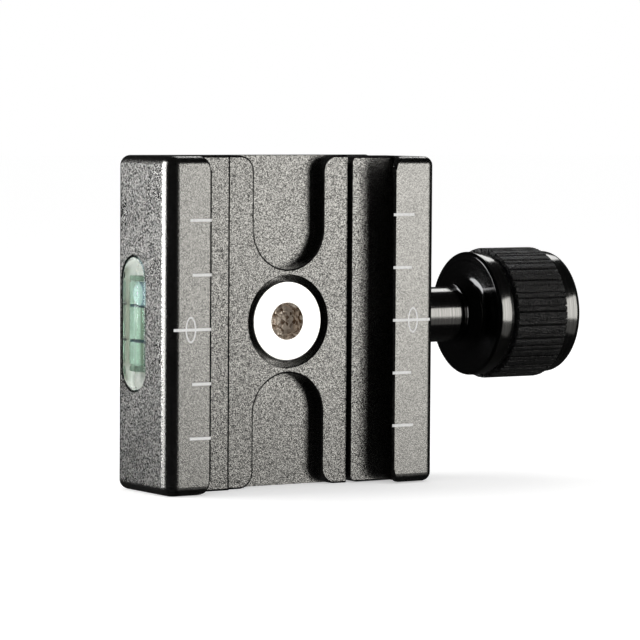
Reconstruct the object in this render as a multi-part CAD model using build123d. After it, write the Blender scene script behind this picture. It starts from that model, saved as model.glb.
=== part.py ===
from build123d import *
import math
import os

# Dovetail quick release clamp for camera plates, standing on the end of its channel.
# Millimetres. X runs across the clamp from the fixed jaw to the knob, Z along the channel,
# and the plate goes on at the -Y side. The origin is on the mounting hole's axis, in the
# face that sits on the tripod head, halfway along the channel.

# Overall block
clamp_length = 50.0
body_depth = 15.2
fixed_outer_x = -23.95
movable_outer_x = 23.1
end_round = 1.4
fixed_edge_round = 1.95
movable_edge_round = 1.45
back_edge_round = 1.1
edge_break = 0.15
floor_end_chamfer = 0.3

# Dovetail channel
channel_depth = 4.5
lip_land = 0.4
fixed_lip_x = -16.49
movable_lip_x = 15.55
undercut_reach = 2.7
mouth_round = 2.05
mouth_edge = 0.45
lip_break_width = 0.36
lip_break_depth = 0.15

# Floor of the channel
recess_step = 0.8
recess_half_width = 10.62
slot_depth = 2.35
slot_radius = 6.1
slot_end_z = 7.85
slot_mouth_round = 2.4
slot_edge = 0.28
slot_edge_depth = 0.12
step_break_width = 0.45
step_break_depth = 0.3

# Split between the base and the movable jaw
parting_gap = 0.15
ledge_thickness = 1.5
ledge_end_x = 20.5
jaw_end_clearance = 0.12
slide_gap = 0.15

# Mounting screw, quarter inch thread
counterbore_radius = 6.95
counterbore_depth = 4.0
mount_shank_radius = 3.175
mount_hole_clearance = 0.15
mount_head_radius = 6.05
mount_head_sink = 0.3
mount_head_chamfer = 0.4
mount_socket_flats = 5.0
mount_socket_depth = 2.4
mount_socket_mouth_radius = 2.85
mount_free_length = 6.0
mount_tip_chamfer = 0.6

# Retaining ring under the base
retainer_seat_depth = 0.9
retainer_thickness = 0.7
retainer_outer_radius = 4.6
retainer_seat_clearance = 0.1
retainer_groove_depth = 0.5
retainer_shank_gap = 0.05
retainer_slot_width = 1.8

# Clamp screw, M5
knob_axis_y = -4.95
screw_radius = 2.45
screw_thread_clearance = 0.05
screw_pass_clearance = 0.2
screw_tip_x = 8.2
screw_bore_end_x = 7.9
screw_tip_chamfer = 0.4
screw_head_radius = 4.25
screw_head_height = 5.0
screw_head_clearance = 0.1
screw_socket_flats = 4.0
screw_socket_depth = 2.5

# Threaded boss on the base, under the jaw's foot
boss_end_x = 16.0
boss_half_width = 4.6
boss_height = 8.4
boss_side_gap = 0.2
boss_end_gap = 0.6

# Guide pins
pin_radius = 1.5
pin_from_end = 9.0
pin_start_x = 7.4
pin_end_x = 20.0
pin_hole_clearance = 0.05
pin_hole_extra = 0.6
pin_chamfer = 0.3

# Return springs
spring_radius = 1.9
spring_wire = 0.4
spring_turns = 9
spring_off_middle = 0.7
spring_start_x = 9.4
spring_end_x = 19.4
spring_pocket_clearance = 0.25

# Thrust washer and spacer sleeve
washer_radius = 4.1
washer_thickness = 0.6
washer_seat_depth = 0.5
washer_seat_clearance = 0.1
sleeve_radius = 4.3
sleeve_edge = 0.35
sleeve_length = 9.3

# Knob
knob_ring_gap = 0.35
knob_ring_radius = 4.75
knob_ring_width = 0.7
knob_neck_radius = 4.1
knob_dish_margin = 0.6
knob_dish_length = 2.25
flare_cone_length = 1.2
flare_cone_rise = 1.0
flare_bend_length = 0.85
flare_bend_rise = 1.5
flange_step = 0.55
flange_width = 2.7
flange_edge = 0.4
grip_groove_width = 0.5
grip_seat_radius = 8.2
grip_width = 9.3
grip_wall = 1.6
grip_rib_height = 0.45
grip_rib_pairs = 30
grip_wide_rib_deg = 5.6
grip_narrow_rib_deg = 3.0
grip_rib_edge_deg = 0.5
end_band_width = 3.25
end_band_step = 0.65
end_band_round = 1.0
knob_bore_clearance = 0.05

# Set screw in the knob, M3
set_screw_radius = 1.5
set_screw_length = 4.2
set_screw_hole_clearance = 0.05

# Bubble level
vial_y = -4.9
vial_length = 20.0
vial_width = 6.9
vial_depth = 6.0
vial_pocket_clearance = 0.1
vial_face_sink = 0.05
vial_edge = 0.3
vial_rim_break = 0.15
tube_radius = 2.45
tube_end_wall = 3.7
tube_inset = 3.1
plug_radius = 1.5
plug_sink = 0.5
bubble_radius = 1.7
bubble_wall_gap = 0.25
ring_spacing = 5.25
ring_width = 0.3
ring_depth = 0.15

# Engraved marks, filled with white
mark_spacing = 8.03
mark_width = 0.42
mark_depth = 0.12
mark_fill = 0.1
outer_mark_length = 3.7
inner_mark_length = 3.3
oval_width = 1.85
oval_height = 3.9
oval_from_lip = 3.55
oval_line = 0.28
mark_from_lip = 0.36
fixed_marks_drop = 0.45

# Worked out from the sizes above
half_length = clamp_length / 2
pin_z = half_length - pin_from_end
spring_z = (boss_half_width + pin_z) / 2 - spring_off_middle
jaw_top_y = -body_depth
strip_y = -(body_depth - channel_depth)
recess_y = strip_y + recess_step
head_seat_y = recess_y + counterbore_depth
undercut_y = jaw_top_y + lip_land + undercut_reach
fixed_root_x = fixed_lip_x - undercut_reach
movable_root_x = movable_lip_x + undercut_reach
foot_start_x = recess_half_width + parting_gap
foot_back_y = -(ledge_thickness + slide_gap)
jaw_half_length = half_length - jaw_end_clearance
washer_start_x = movable_outer_x - washer_seat_depth
sleeve_start_x = washer_start_x + washer_thickness
sleeve_end_x = sleeve_start_x + sleeve_length
knob_ring_x = sleeve_end_x + knob_ring_gap
knob_dish_x = knob_ring_x + knob_ring_width
flange_x = knob_dish_x + knob_dish_length
flange_end_x = flange_x + flange_width
grip_start_x = flange_end_x + grip_groove_width
grip_end_x = grip_start_x + grip_width
knob_end_x = grip_end_x + end_band_width
tube_length = vial_length - 2 * tube_end_wall
plug_length = tube_end_wall - plug_sink
head_start_x = knob_end_x - screw_head_height - screw_head_clearance
grip_root_radius = grip_seat_radius + grip_wall
grip_rib_radius = grip_root_radius + grip_rib_height
flange_radius = grip_rib_radius - flange_step
knob_dish_end_radius = flange_radius - knob_dish_margin
end_band_radius = grip_rib_radius - end_band_step
mark_heights = [2 * mark_spacing, mark_spacing, 0.0, -mark_spacing, -2 * mark_spacing]

os.makedirs("parts", exist_ok=True)


def save(shape, name):
    """Write one piece to its own STEP file."""
    shape.label = name
    export_step(shape, "parts/" + name + ".step")


def along_channel(points, half):
    """A closed outline in X and Y, drawn out along the channel both ways."""
    outline = Polyline(*points, close=True)
    return extrude(make_face(outline), amount=half, both=True)


def block(x0, x1, y0, y1, z0, z1):
    """A box between two corners."""
    low = Vector(min(x0, x1), min(y0, y1), min(z0, z1))
    size = (abs(x1 - x0), abs(y1 - y0), abs(z1 - z0))
    return Pos(*low) * Box(*size, align=(Align.MIN, Align.MIN, Align.MIN))


def rod_x(radius, x0, x1, y, z):
    """A round rod along X."""
    place = Plane(origin=(x0, y, z), x_dir=(0, 1, 0), z_dir=(1, 0, 0))
    return extrude(place * Circle(radius), amount=x1 - x0)


def rod_y(radius, y0, y1, x=0.0, z=0.0):
    """A round rod along Y, from y0 towards y1."""
    way = 1 if y1 > y0 else -1
    place = Plane(origin=(x, y0, z), x_dir=(1, 0, 0), z_dir=(0, way, 0))
    return extrude(place * Circle(radius), amount=abs(y1 - y0))


def turned_x(points, y, z=0.0):
    """A piece turned on a lathe about a line along X: points are (x, radius)."""
    outline = Polyline(*[(x, y - r, z) for x, r in points], close=True)
    return revolve(make_face(outline), axis=Axis((0, y, z), (1, 0, 0)))


def hex_along(flats, start, way, length):
    """A hexagonal prism, for sockets."""
    place = Plane(origin=start, x_dir=(0, 0, 1), z_dir=way)
    return extrude(place * RegularPolygon(flats / 2, 6, major_radius=False), amount=length)


def edges_at(shape, axis, value, tolerance=0.01):
    """Edges that lie wholly in the plane where the axis has this value."""
    pick = {"X": lambda v: v.X, "Y": lambda v: v.Y, "Z": lambda v: v.Z}[axis]
    found = []
    for edge in shape.edges():
        ends = [edge.position_at(t) for t in (0.0, 0.5, 1.0)]
        if all(abs(pick(p) - value) < tolerance for p in ends):
            found.append(edge)
    return ShapeList(found)


def edges_along_z_at(shape, x, y, tolerance=0.01):
    """Long straight edges along the channel at this X and Y."""
    found = []
    for edge in shape.edges():
        a, b = edge.position_at(0.0), edge.position_at(1.0)
        if abs(a.X - x) < tolerance and abs(b.X - x) < tolerance:
            if abs(a.Y - y) < tolerance and abs(b.Y - y) < tolerance:
                found.append(edge)
    return ShapeList(found)


def turned_y(points):
    """A piece turned about the Y axis: points are (radius, y)."""
    return revolve(make_face(Polyline(*points, close=True)), axis=Axis.Y)


def jaw_block(x_outer, x_inner, y_back, half, edge_round, back_round):
    """A jaw's outer block, rounded along the channel and at both ends."""
    body = block(x_outer, x_inner, y_back, jaw_top_y, -half, half)
    body = fillet(edges_along_z_at(body, x_outer, jaw_top_y), edge_round)
    if back_round > 0:
        body = fillet(edges_along_z_at(body, x_outer, y_back), back_round)
    return fillet(edges_at(body, "Z", half) + edges_at(body, "Z", -half), end_round)


def mouth_cutters(lip_x, half, towards):
    """Round a jaw's inner corners at both ends of the channel, seen from the plate side."""
    cutters = []
    for end in (1, -1):
        corner = block(lip_x - towards, lip_x + towards * mouth_round, jaw_top_y - 1, strip_y,
                       end * (half - mouth_round), end * (half + 1))
        keep = turned_y([(0, jaw_top_y), (mouth_round - mouth_edge, jaw_top_y),
                         (mouth_round, jaw_top_y + mouth_edge), (mouth_round, strip_y + 1),
                         (0, strip_y + 1)])
        keep = Pos(lip_x + towards * mouth_round, 0, end * (half - mouth_round)) * keep
        cutters.append(corner - keep)
    return cutters


def slot_outline(end, reach):
    """The plan of a round-ended slot that runs out through an end, this much wider all round."""
    radius = slot_radius + reach
    round_z = slot_end_z + slot_radius
    corner = slot_mouth_round - reach
    far_x = slot_radius + slot_mouth_round
    corner_z = half_length - slot_mouth_round
    beyond = half_length + 1
    half_turn = math.sqrt(0.5)
    place = Plane(origin=(0, 0, 0), x_dir=(1, 0, 0), z_dir=(0, -end, 0))
    with BuildSketch(place) as sketch:
        with BuildLine():
            Line((far_x, beyond), (far_x, corner_z + corner))
            ThreePointArc((far_x, corner_z + corner),
                          (far_x - corner * half_turn, corner_z + corner * half_turn),
                          (far_x - corner, corner_z))
            Line((far_x - corner, corner_z), (radius, round_z))
            ThreePointArc((radius, round_z), (0, round_z - radius), (-radius, round_z))
            Line((-radius, round_z), (corner - far_x, corner_z))
            ThreePointArc((corner - far_x, corner_z),
                          (corner * half_turn - far_x, corner_z + corner * half_turn),
                          (-far_x, corner_z + corner))
            Line((-far_x, corner_z + corner), (-far_x, beyond))
            Line((-far_x, beyond), (far_x, beyond))
        make_face()
    return sketch.sketch


def open_slot(end):
    """One of the two round-ended slots in the floor, with its top edge broken."""
    walls = extrude(Pos(0, recess_y - 1, 0) * slot_outline(end, 0), amount=slot_depth + 1, dir=(0, 1, 0))
    low = Pos(0, recess_y + slot_edge_depth, 0) * slot_outline(end, 0)
    high = Pos(0, recess_y, 0) * slot_outline(end, slot_edge)
    return walls + loft([low.face(), high.face()])


def end_break(x0, x1, y, half):
    """Cutters that break the edge where a floor meets both end faces."""
    cutters = []
    for end in (1, -1):
        wedge = Polyline((x0, y - 1, end * (half - floor_end_chamfer - 1)),
                         (x0, y - 1, end * (half + 1)),
                         (x0, y + floor_end_chamfer + 1, end * (half + 1)), close=True)
        cutters.append(extrude(make_face(wedge), amount=x1 - x0, dir=(1, 0, 0)))
    return cutters


def stadium_pocket(length, width, depth, x_face, y, edge=0.0):
    """A round-ended block let into the side face, long way along the channel."""
    place = Plane(origin=(x_face, y, 0), x_dir=(0, 0, 1), z_dir=(1, 0, 0))
    body = extrude(place * SlotOverall(length, width), amount=depth)
    if edge > 0:
        body = chamfer(edges_at(body, "X", x_face), edge)
    return body


def jaw_marks(lip_x, towards, outer_x, drop, depth, extra=0.0):
    """Tick lines and the centre oval on a jaw's top, as deep as asked."""
    bottom = jaw_top_y + depth
    top = jaw_top_y - extra
    solids = []
    lengths = [outer_mark_length, inner_mark_length, 0, inner_mark_length, outer_mark_length]
    for z, length in zip(mark_heights, lengths):
        if length == 0:
            continue
        solids.append(block(lip_x + towards * mark_from_lip, lip_x + towards * length, top, bottom,
                            z - drop - mark_width / 2, z - drop + mark_width / 2))
    centre_x = lip_x + towards * oval_from_lip
    line = block(lip_x + towards * mark_from_lip, outer_x, top, bottom,
                 -drop - mark_width / 2, -drop + mark_width / 2)
    place = Plane(origin=(centre_x, top, -drop), x_dir=(1, 0, 0), z_dir=(0, 1, 0))
    outer = place * Ellipse(oval_width / 2, oval_height / 2)
    inner = place * Ellipse(oval_width / 2 - oval_line, oval_height / 2 - oval_line)
    ring = extrude(outer - inner, amount=bottom - top)
    solids.append(line + ring)
    return solids


def make_base():
    base = jaw_block(fixed_outer_x, ledge_end_x, 0, half_length, fixed_edge_round, back_edge_round)
    beyond = ledge_end_x + 1
    channel = [
        (fixed_lip_x - lip_break_width, jaw_top_y - 1),
        (fixed_lip_x - lip_break_width, jaw_top_y),
        (fixed_lip_x, jaw_top_y + lip_break_depth),
        (fixed_lip_x, jaw_top_y + lip_land),
        (fixed_root_x, undercut_y),
        (fixed_root_x, strip_y),
        (-recess_half_width - step_break_width, strip_y),
        (-recess_half_width, strip_y + step_break_depth),
        (-recess_half_width, recess_y),
        (recess_half_width - edge_break, recess_y),
        (recess_half_width, recess_y + edge_break),
        (recess_half_width, -ledge_thickness),
        (ledge_end_x - edge_break, -ledge_thickness),
        (beyond, -ledge_thickness + edge_break + 1),
        (beyond, jaw_top_y - 1),
    ]
    base = base - along_channel(channel, half_length + 1)
    for cutter in mouth_cutters(fixed_lip_x, half_length, -1):
        base = base - cutter
    for cutter in (end_break(fixed_root_x, -recess_half_width, strip_y, half_length)
                   + end_break(-recess_half_width, recess_half_width, recess_y, half_length)
                   + end_break(recess_half_width, ledge_end_x + 1, -ledge_thickness, half_length)):
        base = base - cutter
    boss = block(recess_half_width - 1, boss_end_x, 0, -boss_height,
                 -boss_half_width, boss_half_width)
    base = base + boss
    for end in (1, -1):
        base = base - open_slot(end)
    base = base - turned_y([(0, recess_y - 1), (counterbore_radius + edge_break + 1, recess_y - 1),
                            (counterbore_radius, recess_y + edge_break),
                            (counterbore_radius, head_seat_y), (0, head_seat_y)])
    base = base - rod_y(mount_shank_radius + mount_hole_clearance, head_seat_y - 1, 1)
    base = base - rod_y(retainer_outer_radius + retainer_seat_clearance, -retainer_seat_depth, 1)
    base = base - rod_x(screw_radius + screw_thread_clearance, screw_bore_end_x,
                        boss_end_x + 1, knob_axis_y, 0)
    for side in (1, -1):
        base = base - rod_x(pin_radius, pin_start_x, ledge_end_x + 1, knob_axis_y, side * pin_z)
        base = base - rod_x(spring_radius + spring_pocket_clearance, spring_start_x,
                            recess_half_width + 1, knob_axis_y, side * spring_z)
    vial_cut = stadium_pocket(vial_length + 2 * vial_pocket_clearance,
                              vial_width + 2 * vial_pocket_clearance,
                              vial_depth + vial_face_sink + 1, fixed_outer_x - 1, vial_y)
    base = base - vial_cut
    rim = [e for e in edges_at(base, "X", fixed_outer_x) if abs(e.center().Z) < vial_length
           and abs(e.center().Y - vial_y) < vial_width and e.center().Z ** 2 < half_length ** 2 / 2]
    base = chamfer(rim, vial_rim_break)
    flat_start_x = fixed_outer_x + fixed_edge_round
    for mark in jaw_marks(fixed_lip_x, -1, flat_start_x, fixed_marks_drop, mark_depth, 1.0):
        base = base - mark
    return base


def make_movable_jaw():
    jaw = jaw_block(movable_outer_x, foot_start_x, foot_back_y, jaw_half_length,
                    movable_edge_round, 0)
    channel = [
        (movable_lip_x + lip_break_width, jaw_top_y - 1),
        (movable_lip_x + lip_break_width, jaw_top_y),
        (movable_lip_x, jaw_top_y + lip_break_depth),
        (movable_lip_x, jaw_top_y + lip_land),
        (movable_root_x, undercut_y),
        (movable_root_x, strip_y),
        (foot_start_x + edge_break, strip_y),
        (foot_start_x - 1, strip_y + edge_break + 1),
        (foot_start_x - 1, jaw_top_y - 1),
    ]
    jaw = jaw - along_channel(channel, half_length + 1)
    for cutter in (mouth_cutters(movable_lip_x, jaw_half_length, 1)
                   + end_break(foot_start_x - 1, movable_root_x, strip_y, jaw_half_length)):
        jaw = jaw - cutter
    jaw = jaw - block(foot_start_x - 1, boss_end_x + boss_end_gap, foot_back_y + 1,
                      -(boss_height + boss_side_gap), -(boss_half_width + boss_side_gap),
                      boss_half_width + boss_side_gap)
    jaw = jaw - rod_x(screw_radius + screw_pass_clearance, foot_start_x - 1,
                      movable_outer_x + 1, knob_axis_y, 0)
    jaw = jaw - rod_x(washer_radius + washer_seat_clearance, washer_start_x,
                      movable_outer_x + 1, knob_axis_y, 0)
    for side in (1, -1):
        jaw = jaw - rod_x(pin_radius + pin_hole_clearance, foot_start_x - 1,
                          pin_end_x + pin_hole_extra, knob_axis_y, side * pin_z)
        jaw = jaw - rod_x(spring_radius + spring_pocket_clearance, foot_start_x - 1,
                          spring_end_x, knob_axis_y, side * spring_z)
    for mark in jaw_marks(movable_lip_x, 1, movable_outer_x - movable_edge_round, 0, mark_depth, 1.0):
        jaw = jaw - mark
    return jaw


def make_marks(lip_x, towards, outer_x, drop):
    fills = []
    for mark in jaw_marks(lip_x, towards, outer_x, drop, mark_depth):
        fills.append(mark - block(fixed_outer_x, movable_outer_x, jaw_top_y - 1,
                                  jaw_top_y + mark_depth - mark_fill, -half_length, half_length))
    return Compound(children=fills)


def make_guide_pin(z):
    end = pin_end_x
    profile = [
        (pin_start_x, 0), (pin_start_x, pin_radius - pin_chamfer),
        (pin_start_x + pin_chamfer, pin_radius), (end - pin_chamfer, pin_radius),
        (end, pin_radius - pin_chamfer), (end, 0),
    ]
    return turned_x(profile, knob_axis_y, z)


def make_spring(z):
    """A plain compression spring along X, squashed to its closed length."""
    coil_radius = spring_radius - spring_wire / 2
    length = spring_end_x - spring_start_x - spring_wire
    place = Plane(origin=(spring_start_x + spring_wire / 2, knob_axis_y, z),
                  x_dir=(0, 1, 0), z_dir=(1, 0, 0))
    path = place * Helix(length / spring_turns, length, coil_radius)
    section = Plane(origin=path @ 0, z_dir=path % 0) * Circle(spring_wire / 2)
    return sweep(section, path=path, is_frenet=True)


def make_clamp_screw():
    head_x = head_start_x
    profile = [
        (screw_tip_x, 0), (screw_tip_x, screw_radius - screw_tip_chamfer),
        (screw_tip_x + screw_tip_chamfer, screw_radius), (head_x, screw_radius),
        (head_x, screw_head_radius), (head_x + screw_head_height - screw_tip_chamfer, screw_head_radius),
        (head_x + screw_head_height, screw_head_radius - screw_tip_chamfer),
        (head_x + screw_head_height, 0),
    ]
    screw = turned_x(profile, knob_axis_y)
    mouth = head_x + screw_head_height
    return screw - hex_along(screw_socket_flats, (mouth, knob_axis_y, 0), (-1, 0, 0),
                             screw_socket_depth)


def make_thrust_washer():
    inner = screw_radius + screw_thread_clearance
    profile = [
        (washer_start_x, inner), (washer_start_x, washer_radius),
        (sleeve_start_x, washer_radius), (sleeve_start_x, inner),
    ]
    return turned_x(profile, knob_axis_y)


def make_sleeve():
    inner = screw_radius + screw_thread_clearance
    profile = [
        (sleeve_start_x, inner), (sleeve_start_x, sleeve_radius - sleeve_edge),
        (sleeve_start_x + sleeve_edge, sleeve_radius), (sleeve_end_x - sleeve_edge, sleeve_radius),
        (sleeve_end_x, sleeve_radius - sleeve_edge), (sleeve_end_x, inner),
    ]
    return turned_x(profile, knob_axis_y)


def make_knob_body():
    """Turned from one bar: ring, hollow flare, flange, seat for the rubber, end band."""
    bore = screw_radius + knob_bore_clearance
    y = knob_axis_y

    def point(x, r):
        return (x, y - r)

    cone_end_x = knob_dish_x + flare_cone_length
    cone_end_r = knob_neck_radius + flare_cone_rise
    bend_end_x = cone_end_x + flare_bend_length
    bend_end_r = cone_end_r + flare_bend_rise
    head_bore = screw_head_radius + screw_head_clearance
    line = Polyline(
        point(sleeve_end_x, bore), point(sleeve_end_x, knob_neck_radius),
        point(knob_ring_x, knob_neck_radius), point(knob_ring_x, knob_ring_radius),
        point(knob_dish_x, knob_ring_radius), point(knob_dish_x, knob_neck_radius),
        point(cone_end_x, cone_end_r),
    )
    flare = ThreePointArc(
        point(cone_end_x, cone_end_r),
        point(cone_end_x + 0.7 * flare_bend_length, cone_end_r + 0.35 * flare_bend_rise),
        point(bend_end_x, bend_end_r))
    rest = Polyline(
        point(bend_end_x, bend_end_r), point(flange_x, knob_dish_end_radius),
        point(flange_x, flange_radius - flange_edge),
        point(flange_x + flange_edge, flange_radius), point(flange_end_x, flange_radius),
        point(flange_end_x, grip_seat_radius), point(grip_end_x, grip_seat_radius),
        point(grip_end_x, end_band_radius), point(knob_end_x - end_band_round, end_band_radius),
    )
    corner = end_band_round * (1 - math.sqrt(0.5))
    end_round = ThreePointArc(
        point(knob_end_x - end_band_round, end_band_radius),
        point(knob_end_x - corner, end_band_radius - corner),
        point(knob_end_x, end_band_radius - end_band_round))
    back = Polyline(
        point(knob_end_x, end_band_radius - end_band_round), point(knob_end_x, head_bore),
        point(head_start_x, head_bore), point(head_start_x, bore), point(sleeve_end_x, bore),
    )
    face = make_face(Wire([*line.edges(), *flare.edges(), *rest.edges(), *end_round.edges(), *back.edges()]))
    knob = revolve(face, axis=Axis((0, y, 0), (1, 0, 0)))
    hole_x = (grip_start_x + grip_end_x) / 2
    hole = rod_y(set_screw_radius + set_screw_hole_clearance, y, y - grip_seat_radius - 1, hole_x)
    return knob - hole


def make_set_screw():
    hole_x = (grip_start_x + grip_end_x) / 2
    tip_y = knob_axis_y - screw_radius
    screw = rod_y(set_screw_radius, tip_y, tip_y - set_screw_length, hole_x)
    mouth_y = tip_y - set_screw_length
    return screw - hex_along(set_screw_radius, (hole_x, mouth_y, 0), (0, 1, 0), set_screw_length / 3)


def make_grip():
    """A rubber ring whose wide and narrow ribs take turns round it."""
    place = Plane(origin=(grip_start_x, knob_axis_y, 0), x_dir=(0, 1, 0), z_dir=(1, 0, 0))
    pitch = 360 / grip_rib_pairs
    groove = (pitch - grip_wide_rib_deg - grip_narrow_rib_deg) / 2
    outline = []
    for n in range(grip_rib_pairs):
        wide_start = n * pitch
        narrow_start = wide_start + grip_wide_rib_deg + groove
        for low, high in ((wide_start, wide_start + grip_wide_rib_deg),
                          (narrow_start, narrow_start + grip_narrow_rib_deg)):
            for radius, angle in ((grip_root_radius, low),
                                  (grip_rib_radius, low + grip_rib_edge_deg),
                                  (grip_rib_radius, high - grip_rib_edge_deg),
                                  (grip_root_radius, high)):
                turn = math.radians(angle)
                outline.append((radius * math.cos(turn), radius * math.sin(turn)))
    ribs = make_face(Polyline(*outline, close=True)) - Circle(grip_seat_radius)
    return extrude(place * ribs, amount=grip_width)


def make_mounting_screw():
    top = recess_y + mount_head_sink
    tip = mount_free_length
    shank = mount_shank_radius
    groove = shank - retainer_groove_depth
    groove_start = -retainer_seat_depth
    groove_end = -retainer_seat_clearance
    screw = turned_y([
        (0, top), (mount_head_radius - mount_head_chamfer, top),
        (mount_head_radius, top + mount_head_chamfer), (mount_head_radius, head_seat_y),
        (shank, head_seat_y), (shank, groove_start), (groove, groove_start),
        (groove, groove_end), (shank, groove_end), (shank, tip - mount_tip_chamfer),
        (shank - mount_tip_chamfer, tip), (0, tip),
    ])
    screw = screw - hex_along(mount_socket_flats, (0, top, 0), (0, 1, 0), mount_socket_depth)
    return screw - turned_y([(0, top - 1), (mount_socket_mouth_radius + 1, top - 1),
                             (0, top + mount_socket_mouth_radius)])


def make_retainer():
    """A snap ring, open at one side, in the mounting screw's groove."""
    inner = mount_shank_radius - retainer_groove_depth + retainer_shank_gap
    side_gap = (retainer_seat_depth - retainer_seat_clearance - retainer_thickness) / 2
    low = -retainer_seat_depth + side_gap
    high = low + retainer_thickness
    ring = turned_y([(inner, low), (retainer_outer_radius, low),
                     (retainer_outer_radius, high), (inner, high)])
    return ring - block(0, retainer_outer_radius + 1, low - 1, high + 1,
                        -retainer_slot_width / 2, retainer_slot_width / 2)


def rod_z(radius, z0, z1, x, y):
    """A round rod along Z."""
    return Pos(x, y, z0) * Cylinder(radius, z1 - z0, align=(Align.CENTER, Align.CENTER, Align.MIN))


def make_vial():
    """The level: clear block, liquid, air bubble, printed rings and the filling plug."""
    face_x = fixed_outer_x + vial_face_sink
    clear = stadium_pocket(vial_length, vial_width, vial_depth, face_x, vial_y, vial_edge)
    axis_x = face_x + tube_inset
    low, high = -tube_length / 2, tube_length / 2
    tube = rod_z(tube_radius, low, high, axis_x, vial_y)
    rings = []
    for side in (1, -1):
        z0 = side * ring_spacing / 2 - ring_width / 2
        outer = rod_z(tube_radius, z0, z0 + ring_width, axis_x, vial_y)
        rings.append(outer - rod_z(tube_radius - ring_depth, z0, z0 + ring_width, axis_x, vial_y))
    bubble = Pos(axis_x, vial_y, high - bubble_wall_gap - bubble_radius) * Sphere(bubble_radius)
    liquid = tube - bubble
    for ring in rings:
        liquid = liquid - ring
    plug = rod_z(plug_radius, low - plug_length, low, axis_x, vial_y)
    body = clear - tube - rod_z(plug_radius, -vial_length, low, axis_x, vial_y)
    return {"vial_body": body, "vial_liquid": liquid, "vial_bubble": bubble,
            "vial_rings": Compound(children=rings), "vial_plug": plug}


save(make_base(), "base_body")
save(make_movable_jaw(), "movable_jaw")
save(make_marks(fixed_lip_x, -1, fixed_outer_x + fixed_edge_round, fixed_marks_drop), "fixed_jaw_marks")
save(make_marks(movable_lip_x, 1, movable_outer_x - movable_edge_round, 0), "movable_jaw_marks")
for name, side in (("upper", 1), ("lower", -1)):
    save(make_guide_pin(side * pin_z), "guide_pin_" + name)
    save(make_spring(side * spring_z), "return_spring_" + name)
save(make_clamp_screw(), "clamp_screw")
save(make_thrust_washer(), "thrust_washer")
save(make_sleeve(), "spacer_sleeve")
save(make_knob_body(), "knob_body")
save(make_set_screw(), "knob_set_screw")
save(make_grip(), "knob_grip")
save(make_mounting_screw(), "mounting_screw")
save(make_retainer(), "screw_retainer")
for name, piece in make_vial().items():
    save(piece, name)
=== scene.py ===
# %% [markdown]
# # A dovetail quick release clamp
# The clamp stands on the end of its channel. A bar of bead blasted, anodised aluminium carries a
# fixed jaw. A sliding jaw is drawn in by a turned knob with a rubber grip. A level sits in the side.
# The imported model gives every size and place, and this lesson adds the finishes and the fine pieces.

# %% Load the fixed frame
import math

import bmesh
import bpy
from mathutils import Matrix, Vector


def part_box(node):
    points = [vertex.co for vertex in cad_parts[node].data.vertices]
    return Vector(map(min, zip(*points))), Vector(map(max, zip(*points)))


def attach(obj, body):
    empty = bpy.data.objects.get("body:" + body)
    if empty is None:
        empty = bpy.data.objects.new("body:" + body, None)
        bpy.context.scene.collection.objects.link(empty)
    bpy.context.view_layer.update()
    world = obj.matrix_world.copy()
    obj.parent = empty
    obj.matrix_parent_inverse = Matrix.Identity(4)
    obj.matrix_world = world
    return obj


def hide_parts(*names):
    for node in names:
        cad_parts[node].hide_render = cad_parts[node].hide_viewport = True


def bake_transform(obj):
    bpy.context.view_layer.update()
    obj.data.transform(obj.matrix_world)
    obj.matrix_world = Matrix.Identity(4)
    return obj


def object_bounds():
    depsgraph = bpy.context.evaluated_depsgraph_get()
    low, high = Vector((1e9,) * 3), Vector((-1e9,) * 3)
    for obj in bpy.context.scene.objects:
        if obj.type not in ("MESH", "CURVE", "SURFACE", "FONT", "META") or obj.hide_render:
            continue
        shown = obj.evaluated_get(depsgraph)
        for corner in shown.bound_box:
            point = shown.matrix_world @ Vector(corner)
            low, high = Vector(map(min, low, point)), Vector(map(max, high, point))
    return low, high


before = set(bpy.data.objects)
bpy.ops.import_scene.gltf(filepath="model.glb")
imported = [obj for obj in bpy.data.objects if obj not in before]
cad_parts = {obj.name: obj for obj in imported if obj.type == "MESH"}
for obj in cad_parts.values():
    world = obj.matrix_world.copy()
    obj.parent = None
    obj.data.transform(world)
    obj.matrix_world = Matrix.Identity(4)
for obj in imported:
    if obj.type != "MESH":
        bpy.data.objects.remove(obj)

cad_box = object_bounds()
print("CAD box, mm:", [[round(1000 * c, 2) for c in corner] for corner in cad_box])

# %% [markdown]
# ## The camera
# The photograph was taken with a long lens from the left, a little above the middle of the clamp.
# A long lens keeps the knob and the jaws at nearly the same scale. Angles and distance are given
# round a target point near the mounting screw, so each can be tuned by itself.

# %% Camera
turn_left = math.radians(-32.28)
rise = math.radians(3.47)
roll = math.radians(0.36)
distance = 0.5418
target = Vector((0.0085, -0.00541, -0.00028))

away = Vector((math.sin(turn_left) * math.cos(rise), -math.cos(turn_left) * math.cos(rise), math.sin(rise)))
level_right = Vector((math.cos(turn_left), math.sin(turn_left), 0))
level_up = away.cross(level_right)
right = math.cos(roll) * level_right + math.sin(roll) * level_up
up = -math.sin(roll) * level_right + math.cos(roll) * level_up

camera_data = bpy.data.cameras.new("camera")
camera_data.lens = 198.9
camera_data.sensor_width = 36
camera_data.clip_start = 0.01
camera = bpy.data.objects.new("camera", camera_data)
bpy.context.scene.collection.objects.link(camera)
facing = Matrix((right, up, away)).transposed().to_4x4()
camera.matrix_world = Matrix.Translation(target + away * distance) @ facing
bpy.context.scene.camera = camera
bpy.context.scene.view_settings.view_transform = "Standard"
print("camera at, mm:", [round(1000 * c) for c in camera.location])

# %% [markdown]
# ## The studio
# Satin metal shows the room more than its own colour. In the photograph the flat faces look pale and
# every rounded edge goes black, so the room is dark. The world shader answers each kind of ray:
# the lens sees plain white, matt surfaces get an even grey light, mirrors see the dark room.

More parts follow.
